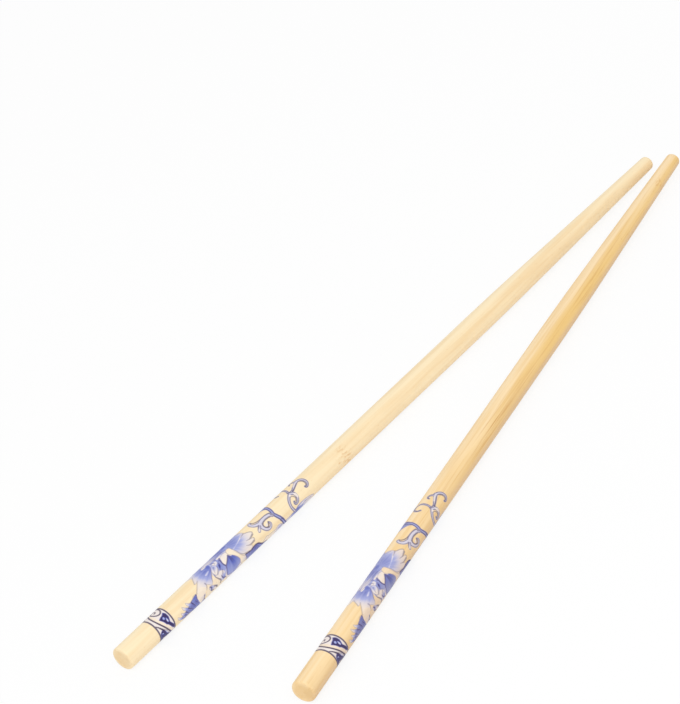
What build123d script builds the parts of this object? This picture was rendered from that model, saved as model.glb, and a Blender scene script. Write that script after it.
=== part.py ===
"""A pair of turned bamboo chopsticks, laid down side by side as an open V.

Each stick is turned from one split of bamboo: a straight round grip, a long shoulder that eases
into a slim cone, a sawn butt with its edge broken and a blunt rounded tip. The sticks lie on their
grips, so their axes are level and the tips hang just clear of the table.
Millimetres, +Z up, +Y from the butts to the tips, origin under the middle of the pair.
"""

import os
from math import asin, atan2, cos, sin

from build123d import *

# One stick
stick_length = 240.0
butt_diameter = 6.9
tip_diameter = 4.2
taper_length = 75.0  # from the tip back to where cone and grip would meet in a corner
shoulder_blend = 16.0  # how far the shoulder's curve reaches to each side of that corner
butt_rounding = 0.6
tip_rounding = 0.9

# How the pair lies
butt_spacing = 57.7  # between the axes, at the butts
tip_gap = 3.0  # between the surfaces, at the tips
right_lead = 2.9  # how far the right stick lies ahead of the left one

butt_radius = butt_diameter / 2
tip_radius = tip_diameter / 2
cone_slope = atan2(butt_radius - tip_radius, taper_length)
corner = (stick_length - taper_length, butt_radius)
grip_end = (corner[0] - shoulder_blend, butt_radius)
cone_start = (
    corner[0] + shoulder_blend * cos(cone_slope),
    butt_radius - shoulder_blend * sin(cone_slope),
)
tip_spacing = tip_diameter + tip_gap
lean = asin((butt_spacing - tip_spacing) / 2 / stick_length)


def overhang(radius, rounding):
    """How far a leaning stick's end reaches past the end of its axis, along Y."""
    return (radius - rounding) * sin(lean) + rounding * (1 - cos(lean))


# The pair's reach along Y is shared out evenly about the origin
left_behind = max(right_lead, 0.0)
right_behind = max(-right_lead, 0.0)
reach_back = overhang(butt_radius, butt_rounding)
reach_front = overhang(tip_radius, tip_rounding)
pair_reach = reach_back + abs(right_lead) + stick_length * cos(lean) + reach_front
front_butt = reach_back + abs(right_lead) - pair_reach / 2

os.makedirs("parts", exist_ok=True)

# Both sticks are turned to one outline, and each leans in towards the other's tip
for name, side, behind in (("left", -1, left_behind), ("right", 1, right_behind)):
    # A level plane through the stick's axis, its own x axis running from the butt to the tip
    axis_plane = Plane(
        origin=(side * butt_spacing / 2, front_butt - behind, butt_radius),
        x_dir=(-side * sin(lean), cos(lean), 0),
        z_dir=(0, 0, 1),
    )
    with BuildPart() as chopstick:
        with BuildSketch(axis_plane) as half_section:
            with BuildLine():
                Polyline(
                    grip_end,
                    (0, butt_radius),
                    (0, 0),
                    (stick_length, 0),
                    (stick_length, tip_radius),
                    cone_start,
                )
                Bezier(cone_start, corner, grip_end)
            make_face()
            ends = half_section.vertices().group_by(Axis.X)
            butt_edge = ends[0].sort_by(Axis.Y)[-1]
            tip_edge = ends[-1].sort_by(Axis.Y)[-1]
            fillet(butt_edge, radius=butt_rounding)
            fillet(tip_edge, radius=tip_rounding)
        revolve(axis=Axis(axis_plane.origin, axis_plane.x_dir))
    chopstick.part.label = f"chopstick_{name}"
    export_step(chopstick.part, f"parts/chopstick_{name}.step")

    # The straight stretch of the grip, which a holder or a cap would fit
    grip_length = grip_end[0] - butt_rounding
    middle = axis_plane.origin + axis_plane.x_dir * (butt_rounding + grip_length / 2)
    print(f"{name} grip: r {butt_radius:.3f}, length {grip_length:.3f}")
    print(f"  middle {middle.X:.4f} {middle.Y:.4f} {middle.Z:.4f}")
    print(f"  towards the butt {side * sin(lean):.6f} {-cos(lean):.6f} 0")
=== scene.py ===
"""A pair of turned bamboo chopsticks with a blue transfer print, on a pale studio floor."""

import math

import bmesh
import bpy
import numpy as np
from bpy.props import FloatProperty, FloatVectorProperty, IntProperty, PointerProperty
from mathutils import Matrix, Vector


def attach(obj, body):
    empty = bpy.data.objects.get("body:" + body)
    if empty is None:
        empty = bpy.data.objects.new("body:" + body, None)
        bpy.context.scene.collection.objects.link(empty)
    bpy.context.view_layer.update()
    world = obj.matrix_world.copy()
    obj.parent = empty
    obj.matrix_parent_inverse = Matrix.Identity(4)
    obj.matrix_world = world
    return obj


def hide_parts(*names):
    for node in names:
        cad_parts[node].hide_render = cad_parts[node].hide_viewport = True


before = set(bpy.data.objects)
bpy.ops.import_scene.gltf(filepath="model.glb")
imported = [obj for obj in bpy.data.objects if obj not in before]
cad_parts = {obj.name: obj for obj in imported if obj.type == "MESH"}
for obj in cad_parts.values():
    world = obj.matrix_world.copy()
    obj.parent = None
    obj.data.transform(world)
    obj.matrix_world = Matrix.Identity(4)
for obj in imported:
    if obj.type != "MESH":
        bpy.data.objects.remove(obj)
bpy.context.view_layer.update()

bl_info = {
    "name": "Printed bamboo chopsticks",
    "version": (1, 0, 0),
    "blender": (4, 5, 0),
    "location": "View3D > Sidebar > Chopsticks",
    "description": "Turns, prints and lights a pair of bamboo chopsticks",
    "category": "Object",
}

MM = 0.001


def linear(hex_colour):
    """An sRGB hex colour as the linear red, green and blue that Blender mixes."""
    parts = [int(hex_colour[i : i + 2], 16) / 255 for i in (1, 3, 5)]
    return tuple(c / 12.92 if c <= 0.04045 else ((c + 0.055) / 1.055) ** 2.4 for c in parts)


def length(name, description, default):
    return FloatProperty(name=name, description=description, default=default, unit="LENGTH", precision=5)


def colour(name, description, hex_colour):
    return FloatVectorProperty(
        name=name, description=description, default=linear(hex_colour), subtype="COLOR", min=0, max=1
    )


def turned(name, description, degrees):
    return FloatProperty(
        name=name, description=description, default=math.radians(degrees), subtype="ANGLE"
    )


def number(name, description, default):
    return FloatProperty(name=name, description=description, default=default)


class StickSizes(bpy.types.PropertyGroup):
    stick_length: length("Length", "From the butt to the tip", 240 * MM)
    butt_diameter: length("Butt diameter", "Across the straight grip", 6.9 * MM)
    tip_diameter: length("Tip diameter", "Across the blunt tip", 4.2 * MM)
    taper_length: length("Taper", "From the tip to where cone and grip would meet", 75 * MM)
    shoulder_blend: length("Shoulder", "How far the shoulder's curve reaches each way", 16 * MM)
    butt_rounding: length("Butt rounding", "Radius of the butt's broken edge", 0.6 * MM)
    tip_rounding: length("Tip rounding", "Radius of the tip's edge", 0.9 * MM)
    butt_spacing: length("Butt spacing", "Between the two axes at the butts", 57.7 * MM)
    tip_gap: length("Tip gap", "Between the two surfaces at the tips", 3 * MM)
    right_lead: length("Right lead", "How far the right stick lies ahead", 2.9 * MM)
    print_start: length("Print start", "From the butt to where the print's fine mesh starts", 10.4 * MM)
    print_end: length("Print end", "From the butt to where the print's fine mesh ends", 79.4 * MM)
    print_cell: length("Print cell", "Size of the mesh faces that carry the print", 0.151 * MM)
    row_length: length("Row length", "Length of the mesh faces elsewhere", 1.6 * MM)
    ring_width: length("Ring width", "Width of the end faces' rings", 0.5 * MM)
    sides: IntProperty(name="Sides", description="Faces around a stick", default=144, min=16)
    shoulder_steps: IntProperty(
        name="Shoulder steps", description="Steps in the shoulder's curve", default=12, min=2
    )
    rounding_steps: IntProperty(
        name="Rounding steps", description="Steps in each rounded edge", default=5, min=1
    )


class BambooColours(bpy.types.PropertyGroup):
    pale_light: colour("Left, light", "Ground colour of the paler left stick", "#FDEAC4")
    pale_dark: colour("Left, streak", "Streaks in the paler left stick", "#F8DFB4")
    warm_light: colour("Right, light", "Ground colour of the warmer right stick", "#FDE2B6")
    warm_dark: colour("Right, streak", "Streaks in the warmer right stick", "#F4D29B")
    fibre: colour("Fibre", "The darker fibre bundles of both sticks", "#D2A262")
    skin: colour("Skin side", "The side that lay nearer the culm's skin", "#F0C87C")
    # Lower side: a darker, duller colour, partly duller wood and partly painted shade
    dull_wood_and_shade: colour("Lower side", "The duller wood below the skin side", "#DBB88A")
    end_grain: colour("End grain", "The cut ends", "#E8C48C")
    scar: colour("Node scar", "Flecks where a culm's node was turned away", "#D9A05C")
    left_skin: number("Left skin", "Strength of the left stick's skin side", 0.07)
    right_skin: number("Right skin", "Strength of the right stick's skin side", 0.9)
    left_scar: length("Left scar", "From the butt to the left stick's node scar", 91 * MM)
    right_scar: length("Right scar", "From the butt to the right stick's node scar", 226 * MM)
    left_open: length("Left open grain", "From the butt to the left stick's open grain", 91 * MM)
    right_open: length("Right open grain", "From the butt to the right stick's open grain", 107 * MM)
    left_grain: number("Left grain", "Where the left stick's grain is cut from", 3.7)
    right_grain: number("Right grain", "Where the right stick's grain is cut from", 11.3)
    skin_bearing: turned("Skin bearing", "Middle of the skin side, from straight up to the right", 66)
    # Middle of the lower side's duller wood and painted shade
    dull_and_shade_bearing: turned("Lower bearing", "Middle of the duller wood, measured likewise", 108)
    lower_wear: number("Lower wear", "How much sooner the skin side wears off below", 1.7)
    wander: number("Wander", "How far the sides' edges follow the streaks", 0.8)
    scar_reach: length("Scar reach", "Half the length of a node scar", 5 * MM)
    open_core: length("Open grain core", "Half the length where the grain is fully open", 4 * MM)
    open_reach: length("Open grain reach", "Half the length of a stretch of open grain", 17 * MM)
    cut_reach: length("Cut reach", "How far the end grain's tone reaches in from a cut", 0.4 * MM)
    cut_core: length("Cut core", "Radius in which the end grain is at its deepest", 1.8 * MM)
    cut_rim: length("Cut rim", "Radius from which the end grain is at its palest", 3.3 * MM)
    fibre_width: length("Fibre width", "Across one fibre bundle", 0.45 * MM)
    fibre_run: length("Fibre run", "How far one fibre bundle runs", 24 * MM)
    streak_width: length("Streak width", "Across one broad streak", 1.7 * MM)
    streak_run: length("Streak run", "How far one broad streak runs", 36 * MM)
    fleck_width: length("Fleck width", "Across one fleck", 0.6 * MM)
    fleck_run: length("Fleck run", "How far one fleck runs", 1.5 * MM)


class PrintColours(bpy.types.PropertyGroup):
    pale_ink: colour("Pale ink", "The band's ground and the petals' edges", "#F3EAE6")
    light_blue: colour("Light blue", "Thin washes of blue", "#C5CBF0")
    deep_blue: colour("Deep blue", "Full washes of blue", "#5868BC")
    navy: colour("Navy", "The darkest ink of the band", "#200A56")
    line_ink: colour("Thin line ink", "Fine outlines over blue", "#665F9A")
    bare_line_ink: colour("Thin line ink, bare", "Fine outlines over cream", "#877C86")
    dense_line_ink: colour("Dense line ink", "The border's heavy outlines", "#3A2A4E")
    # Painted shade: greys and darkens the inks on the lower side
    shade_dulled_ink: colour("Dulled ink", "What the duller lower side makes of the inks", "#E4D9CD")
    pale_cover: number("Pale cover", "How well the pale ink hides the wood", 0.85)
    left_cover: number("Left cover", "How well the left stick's blue hides the wood", 0.97)
    right_cover: number("Right cover", "How well the right stick's blue hides the wood", 0.92)
    navy_cover: number("Navy cover", "How well the navy hides the wood", 0.96)
    shift: length("Right shift", "How far the right stick's print lies further along", 1.5 * MM)
    turn: turned("Right turn", "How far the right stick's print is turned", -5)
    skew: number("Right skew", "Turn of the right stick's print, degrees for each mm", -0.6)
    stretch: number("Right stretch", "Extra length of the right stick's print", 0.02)
    middle: length("Print middle", "Where along the stick the skew turns nothing", 43 * MM)


class StudioSetup(bpy.types.PropertyGroup):
    aim: FloatVectorProperty(
        name="Aim", description="Point on the floor at the picture's middle",
        default=(-50.7 * MM, 16.5 * MM, 0), unit="LENGTH", precision=5,
    )
    distance: length("Distance", "From the aim to the camera", 1.09715)
    azimuth: turned("Azimuth", "Camera's bearing from the aim, from +X towards +Y", -45.95)
    elevation: turned("Elevation", "Camera's height angle", 32.622)
    roll: turned("Roll", "Camera's turn about its own axis", -18.442)
    sensor: number("Sensor", "Width of the camera's sensor in mm", 36)
    lens: FloatProperty(
        name="Lens", description="Focal length in mm", default=201.85, subtype="DISTANCE_CAMERA"
    )
    floor_size: length("Floor size", "Side of the square floor", 8)
    floor_colour: colour("Floor", "Colour of the matt floor", "#FCFCFC")
    floor_glow: number("Floor glow", "Share of plain white in the floor that the camera sees", 0.85)
    key_power: FloatProperty(
        name="Key lamp", description="Power of the large soft lamp", default=5.9, unit="POWER"
    )
    key_size: length("Key size", "Side of the square lamp", 0.9)
    key_distance: length("Key distance", "From the aim to the lamp", 1.3)
    key_way: FloatVectorProperty(
        name="Key direction", description="From the aim towards the lamp", default=(0.44, -0.45, 0.78)
    )
    fill: number("Fill", "Strength of the even light all round", 0.735)


def pair_layout(sizes):
    """The lean of both sticks and the butt end of each one's axis, as the frame has them."""
    tip_spacing = sizes.tip_diameter + sizes.tip_gap
    lean = math.asin((sizes.butt_spacing - tip_spacing) / 2 / sizes.stick_length)

    def overhang(radius, rounding):
        """How far a leaning stick's end reaches past the end of its axis, along Y."""
        return (radius - rounding) * math.sin(lean) + rounding * (1 - math.cos(lean))

    back = overhang(sizes.butt_diameter / 2, sizes.butt_rounding) + sizes.right_lead
    front = overhang(sizes.tip_diameter / 2, sizes.tip_rounding)
    front_butt = back - (back + sizes.stick_length * math.cos(lean) + front) / 2
    level = sizes.butt_diameter / 2
    left = Vector((-sizes.butt_spacing / 2, front_butt - sizes.right_lead, level))
    right = Vector((sizes.butt_spacing / 2, front_butt, level))
    return lean, left, right


def stick_outline(bm, sizes):
    """Half the stick's outline from butt to tip, as a chain of edges: x is the radius, y runs along."""
    butt, tip = sizes.butt_diameter / 2, sizes.tip_diameter / 2
    slope = math.atan2(butt - tip, sizes.taper_length)
    corner = Vector((butt, sizes.stick_length - sizes.taper_length, 0))
    start = corner - Vector((0, sizes.shoulder_blend, 0))
    end = corner + sizes.shoulder_blend * Vector((-math.sin(slope), math.cos(slope), 0))
    # The shoulder eases from the grip into the cone, tangent to both
    shares = [step / sizes.shoulder_steps for step in range(sizes.shoulder_steps + 1)]
    shoulder = [start.lerp(corner, share).lerp(corner.lerp(end, share), share) for share in shares]
    points = [
        Vector((0, 0, 0)),
        Vector((butt, 0, 0)),
        Vector((butt, sizes.print_start, 0)),
        Vector((butt, sizes.print_end, 0)),
        *shoulder,
        Vector((tip, sizes.stick_length, 0)),
        Vector((0, sizes.stick_length, 0)),
    ]
    verts = [bm.verts.new(p) for p in points]
    for pair in zip(verts, verts[1:]):
        bm.edges.new(pair)
    for vert, rounding in ((verts[1], sizes.butt_rounding), (verts[-2], sizes.tip_rounding)):
        bmesh.ops.bevel(
            bm, geom=[vert], offset=rounding, offset_type="OFFSET", segments=sizes.rounding_steps,
            profile=0.5, affect="VERTICES", material=-1,
        )
    slack = MM / 100
    for edge in list(bm.edges):
        low, high = sorted((edge.verts[0].co.y, edge.verts[1].co.y))
        fine = low >= sizes.print_start - slack and high <= sizes.print_end + slack
        target = sizes.print_cell if fine else sizes.row_length
        if high - low < slack:  # a flat end face
            target = sizes.ring_width
        cuts = round(edge.calc_length() / target) - 1
        if cuts > 0:
            bmesh.ops.subdivide_edges(bm, edges=[edge], cuts=cuts)


def unwrap_strips(bm, sizes):
    """Lays the stick's skin flat as three even strips, and the end faces beside them."""
    uv = bm.loops.layers.uv.new("OFBake")
    strip = sizes.stick_length / 3
    scale = 0.97 / strip  # each strip runs over nearly the whole width
    first_u, first_v, row_step = 0.015, 0.02, 0.29
    butt_u, tip_u, ends_v = 0.1, 0.22, 0.925
    girth = math.pi * sizes.butt_diameter
    for face in bm.faces:
        middle = face.calc_center_median()
        along = middle.y
        flat = abs(face.normal.y) > 0.9
        row = min(2, int(along / strip))
        base = math.atan2(-middle.x, middle.z)
        for loop in face.loops:
            co = loop.vert.co
            if flat:
                u = (butt_u if along < strip else tip_u) + co.x * scale
                v = ends_v + co.z * scale
            else:
                angle = math.atan2(-co.x, co.z) if math.hypot(co.x, co.z) > MM / 1000 else base
                angle = base + (angle - base + math.pi) % (2 * math.pi) - math.pi
                u = first_u + (co.y - row * strip) * scale
                v = first_v + row * row_step + (angle / (2 * math.pi) + 0.5) * girth * scale
            loop[uv].uv = (u, v)


class PrintPlate:
    """Inks on a stick's skin. Points are given along the stick in mm and round it in degrees."""

    SOFT = 0.085  # half the width of an ink edge, mm
    STEP = 0.2  # of the way between two given points
    MARGIN = 0.2  # looked at round a petal, mm
    FAR = 9.0  # further than any ink reaches, mm
    BRUSHED = 0.08  # how much the brush marks change a wash
    TINY = 1e-12  # keeps a division from being by zero

    def __init__(self, along, turn, radius):
        self.along = along
        self.arc = np.radians(turn) * radius
        self.girth = 2 * math.pi * radius
        self.radius = radius
        self.pale = np.zeros(len(along))
        self.blue = np.zeros(len(along))
        self.line = np.zeros(len(along))
        self.turned_at = None

    def place(self, points):
        """Points in mm on the flat skin, turned over about a place along it where one is set."""
        if self.turned_at is not None:
            points = [(2 * self.turned_at - s, t + 180) for s, t in points]
        return np.array([(s, math.radians(t) * self.radius) for s, t in points], float)

    @staticmethod
    def curve(points, closed):
        """A smooth run through the points."""
        count = len(points)
        if count < 3:
            return points
        runs = []
        for i in range(count if closed else count - 1):
            if closed:
                a, b, c, d = (points[(i + k) % count] for k in (-1, 0, 1, 2))
            else:
                a, b, c, d = (points[min(max(i + k, 0), count - 1)] for k in (-1, 0, 1, 2))
            for t in np.arange(0, 1, PrintPlate.STEP):
                runs.append(
                    b + 0.5 * t * (c - a + t * (2 * a - 5 * b + 4 * c - d + t * (3 * (b - c) + d - a)))
                )
        runs.append(points[0] if closed else points[-1])
        return np.array(runs)

    def near(self, run, reach):
        """Which points of the skin lie within reach of a run, and where they are beside it."""
        low, high = run.min(0) - reach, run.max(0) + reach
        middle = (low[1] + high[1]) / 2
        arc = middle + (self.arc - middle + self.girth / 2) % self.girth - self.girth / 2
        inside = (self.along > low[0]) & (self.along < high[0]) & (arc > low[1]) & (arc < high[1])
        which = np.nonzero(inside)[0]
        return which, np.stack((self.along[which], arc[which]), 1)

    @staticmethod
    def distance(run, places):
        """The distance from each place to the run, and how far along the run that is, 0 to 1."""
        start, step = run[:-1], run[1:] - run[:-1]
        length2 = np.maximum((step**2).sum(1), PrintPlate.TINY)
        away = places[:, None, :] - start[None]
        t = np.clip((away * step[None]).sum(2) / length2, 0, 1)
        gap = np.hypot(*(away - t[:, :, None] * step[None]).transpose(2, 0, 1))
        best = gap.argmin(1)
        rows = np.arange(len(places))
        return gap[rows, best], (best + t[rows, best]) / len(step)

    @staticmethod
    def inside(run, places):
        """Which places lie inside a closed run: those with an odd number of its edges beside them."""
        a, b = run[:-1], run[1:]
        x, y = places[:, :1], places[:, 1:]
        crosses = (a[:, 1] > y) != (b[:, 1] > y)
        rise = b[:, 1] - a[:, 1]
        rise = np.where(np.abs(rise) < PrintPlate.TINY, PrintPlate.TINY, rise)
        beside = crosses & (x < a[:, 0] + (y - a[:, 1]) / rise * (b[:, 0] - a[:, 0]))
        return beside.sum(1) % 2 == 1

    def edge(self, signed):
        """1 well inside an ink's edge, 0 well outside."""
        t = np.clip(0.5 - signed / (2 * self.SOFT), 0, 1)
        return t * t * (3 - 2 * t)

    def stroke(self, points, width, end=None, ink=0.8, smooth=True):
        """A line of the outline ink, tapering from one width to the other."""
        run = self.place(points)
        run = self.curve(run, False) if smooth else run
        end = width if end is None else end
        which, places = self.near(run, max(width, end))
        gap, t = self.distance(run, places)
        cover = ink * self.edge(gap - (width + (end - width) * t) / 2)
        self.line[which] = np.maximum(self.line[which], cover)

    def strokes(self, *lines):
        """Several lines, each given as its points, its two widths and its ink."""
        for points, width, end, ink in lines:
            self.stroke(points, width, end, ink)

    def scroll(self, arms, rim=0.27, blue=0.3, line=0.72, pale=0.8):
        """Joined arms with one outline round them all. An arm is its points and its end widths."""
        signed = np.full(len(self.along), self.FAR)
        for points, width, end in arms:
            run = self.curve(self.place(points), False)
            which, places = self.near(run, max(width, end))
            gap, t = self.distance(run, places)
            signed[which] = np.minimum(signed[which], gap - (width + (end - width) * t) / 2)
        outer, core = self.edge(signed), self.edge(signed + rim)
        self.line = np.maximum(self.line * (1 - outer), line * (outer - core))
        self.pale = self.pale * (1 - outer) + pale * outer
        self.blue = self.blue * (1 - outer) + blue * outer

    def petal(
        self, points, heart, deep, fade, shade=0.0, pale=0.8, rim=0.2, line=0.6, smooth=True,
        root=None, streaks=0,
    ):
        """A filled shape, deepest at its heart and fading from there, brushed out from its root."""
        run = self.place(points)
        run = self.curve(run, True) if smooth else np.vstack((run, run[:1]))
        which, places = self.near(run, rim + self.MARGIN)
        gap, _ = self.distance(run, places)
        cover = self.edge(np.where(self.inside(run, places), -gap, gap))
        far = np.hypot(*((places - self.place([heart])[0]) / fade).T)
        wash = shade + (deep - shade) * np.exp(-(far**2))
        if streaks:
            base = self.place([root or heart])[0]
            away, ahead = places - base, run.mean(0) - base
            side = away[:, 1] * ahead[0] - away[:, 0] * ahead[1]
            bearing = streaks * np.arctan2(side, (away * ahead).sum(1))
            # Three waves of unlike length, so no two brush marks look alike
            brush = np.sin(bearing) + 0.7 * np.sin(1.7 * bearing + 1) + 0.5 * np.sin(3.1 * bearing + 2)
            wash = wash * (1 + self.BRUSHED * brush)
        self.line[which] = self.line[which] * (1 - cover)
        self.blue[which] = self.blue[which] * (1 - cover) + wash * cover
        self.pale[which] = self.pale[which] * (1 - cover) + pale * cover
        if rim > 0:
            self.line[which] = np.maximum(self.line[which], line * self.edge(gap - rim / 2))


def print_band(plate):
    """The scroll border near the butt: running spirals between two rules."""
    low_edge, high_edge, rule_inset = 11.5, 17.7, 0.2
    ground = (plate.along > low_edge) & (plate.along < high_edge)
    plate.pale[ground] = 1
    plate.blue[ground] = 0.03
    # Its second half is its first, turned over
    for turned_at in (None, (low_edge + high_edge) / 2):
        plate.turned_at = turned_at
        # The vine, a cream band with an outline below it
        plate.scroll(
            [
                ([(17.2, -152), (16.5, -130), (15.8, -108), (15.2, -88), (14.4, -68), (13.8, -48),
                  (13.5, -28), (13.4, -6), (13.6, 16), (14.2, 36)], 1.1, 1.0),
            ],
            rim=0, blue=0, pale=0.6,
        )
        plate.stroke(
            [(14.0, 40), (13.5, 24), (13.0, 6), (12.85, -12), (12.95, -30), (13.3, -48), (13.8, -65),
             (14.4, -82), (15.0, -100), (15.7, -120), (16.5, -140), (17.1, -152)],
            0.5, ink=0.95,
        )
        # Navy wedge over the vine, with a lilac heart and a pale curl, running out in a tail
        plate.petal(
            [(14.1, -36), (14.9, -31), (15.8, -28), (16.6, -20), (16.95, -32), (16.95, -50), (16.65, -62),
             (16.4, -72), (16.8, -84), (17.3, -98), (17.35, -116), (16.6, -108), (16.1, -92), (15.6, -78),
             (15.1, -70), (14.8, -56), (14.4, -44)],
            (14.8, -44), 1.0, 1.6, shade=0.99, rim=0.12, line=0.9, smooth=False,
        )
        plate.petal(
            [(15.1, -43), (15.35, -38), (15.7, -37), (15.8, -43), (15.55, -49), (15.25, -49)],
            (15.5, -43), 0.24, 0.4, shade=0.5, pale=1, rim=0,
        )
        plate.petal(
            [(15.95, -50), (16.15, -47), (16.25, -56), (16.15, -66), (15.9, -68), (15.75, -60)],
            (16.0, -60), 0.12, 0.5, shade=0.35, pale=1, rim=0,
        )
        # Dark leaf that springs from the rule and runs beside the vine
        plate.petal(
            [(12.2, -86), (13.1, -79), (13.8, -90), (14.2, -104), (15.0, -120), (15.8, -136),
             (14.8, -136), (13.9, -126), (13.0, -118), (12.1, -128), (11.9, -104)],
            (13.6, -94), 1.0, 1.4, shade=0.96, rim=0.12, line=0.9,
        )
        plate.petal(
            [(12.5, -93), (12.95, -92), (13.15, -102), (12.95, -112), (12.55, -106)],
            (12.8, -102), 0.2, 0.5, shade=0.3, rim=0,
        )
        plate.petal(
            [(14.0, -92), (14.5, -98), (14.9, -108), (14.6, -112), (14.1, -104)],
            (14.5, -104), 0.15, 0.5, shade=0.25, rim=0,
        )
        plate.stroke([(12.0, -46), (12.5, -58), (13.0, -72), (13.5, -88)], 0.3, 0.6, ink=0.95)
        # The spiral
        plate.stroke(
            [(13.3, 42), (13.9, 52), (14.9, 55), (16.1, 51), (16.85, 37), (17.05, 16), (16.75, -4),
             (15.9, -15), (14.95, -12), (14.35, 0), (14.2, 16), (14.6, 28), (15.3, 31), (15.75, 22),
             (15.6, 10), (15.15, 9)],
            0.5, 0.44, ink=0.93,
        )
        plate.petal(
            [(13.0, 42), (13.7, 38), (14.5, 49), (13.9, 59), (13.2, 57)],
            (13.7, 48), 0.98, 1.0, shade=0.85, rim=0,
        )
        plate.stroke([(14.2, 68), (15.4, 62), (16.6, 61), (17.2, 52)], 0.26, 0.32, ink=0.9)
        plate.petal(
            [(15.4, 70), (16.4, 64), (17.1, 66), (17.0, 84), (16.2, 82)],
            (16.4, 72), 0.95, 1.2, shade=0.8, rim=0,
        )
        plate.stroke([(13.4, 66), (14.3, 78), (15.4, 96), (16.4, 116)], 0.16, 0.3, ink=0.7)
    plate.turned_at = None
    for rule in (low_edge + rule_inset, high_edge - rule_inset):
        plate.stroke(
            [(rule, -180), (rule, -90), (rule, 0), (rule, 90), (rule, 180)], 0.52, ink=0.93, smooth=False,
        )


def print_leaves(plate):
    """The two feathered leaves nearest the band, and the stem that joins them round the back."""
    plate.scroll(
        [
            ([(26.6, 226), (26.1, 208), (25.9, 190), (26.1, 172), (26.7, 156), (28.0, 138),
              (30.0, 119)], 0.8, 0.5),
        ],
        blue=0.2,
    )
    # Upper leaf: a blue blade with pale feathers, curling over at its end
    plate.petal(
        [(30.0, 118), (28.4, 134), (27.2, 145), (25.8, 150), (24.6, 147), (23.4, 149), (22.0, 143),
         (20.6, 137), (20.0, 124), (20.2, 104), (20.5, 84), (20.4, 62), (20.9, 41), (21.4, 60),
         (21.6, 82), (22.1, 100)],
        (26.4, 122), 0.5, 3.2, shade=0.08, rim=0.24, line=0.62, root=(29.8, 117), streaks=16,
    )
    plate.petal(
        [(29.9, 116), (28.6, 98), (27.6, 88), (27.2, 77), (26.7, 70), (26.3, 46), (25.8, 66), (25.3, 72),
         (24.9, 66), (24.6, 43), (24.2, 64), (23.8, 74), (23.4, 66), (23.1, 61), (22.9, 82), (22.3, 98),
         (22.6, 108), (25, 114)],
        (26.6, 106), 0.7, 2.4, shade=0.06, rim=0.18, line=0.5, smooth=False, root=(29, 120), streaks=18,
    )
    plate.stroke([(29.9, 116), (28, 108), (26.2, 105), (24.2, 108), (22.4, 110)], 0.55, 0.15, ink=0.6)
    # Lower leaf: a serrated blue blade, its teeth paling to their tips
    plate.petal(
        [(27.5, -63), (26.6, -66), (25.6, -71), (25.0, -74), (24.0, -82), (22.8, -90), (21.4, -96),
         (20.4, -104), (20.6, -117), (22.0, -125), (23.4, -122), (24.6, -127), (25.6, -137), (26.8, -128),
         (28.2, -140), (29.8, -145), (30.1, -126), (29.3, -112), (28.3, -104), (27.4, -97), (27.2, -82),
         (27.5, -70)],
        (26.0, -94), 0.64, 2.4, shade=0.4, rim=0.26, line=0.84, smooth=False, root=(27, -150), streaks=16,
    )
    for (s, t), (s2, t2) in (
        ((23.3, -60), (25.0, -86)), ((21.7, -62), (23.5, -92)),
        ((20.6, -82), (22.3, -104)), ((19.1, -87), (20.9, -112)),
    ):
        plate.petal(
            [(s, t), (s + 0.75, t + (t2 - t) * 0.42), (s2, t2 + 5), (s2 - 0.5, t2 - 3),
             (s + 0.05, t + (t2 - t) * 0.62)],
            (s2, t2), 0.6, 1.2, shade=0.02, pale=0.9, rim=0.18, line=0.5,
        )
    for vein in (
        [(25.0, -80), (25.6, -96), (26.2, -114)], [(23.5, -90), (24.5, -104), (25.2, -120)],
        [(22.4, -98), (23.4, -114)], [(26.4, -76), (26.6, -90), (27.4, -108)], [(21.6, -106), (22.8, -118)],
    ):
        plate.stroke(vein, 0.46, 0.16, ink=0.86)
    plate.strokes(
        ([(26.8, -78), (25.6, -96), (24.2, -108), (22.2, -114)], 2.4, 1.2, 0.32),
        ([(27.6, -64), (27.2, -74), (27.0, -88), (27.0, -104), (27.4, -120)], 0.3, 0.24, 0.7),
    )
    plate.petal(
        [(25.6, -72), (27.0, -66), (27.0, -76), (26.2, -84), (25.5, -80)],
        (26.8, -68), 0.72, 1.2, shade=0.5, rim=0,
    )
    # Cream petal beside it, dark along its far edge
    plate.petal(
        [(27.9, -66), (29.2, -70), (30.1, -80), (30.4, -94), (30.1, -108), (29.2, -120), (28.3, -126),
         (27.7, -112), (27.3, -84)],
        (29.8, -104), 0.12, 1.2, pale=0.6, rim=0,
    )
    plate.stroke(
        [(29.8, -80), (29.9, -94), (29.8, -106), (29.3, -120), (28.3, -134)], 0.56, 0.44, ink=0.74,
    )


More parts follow.
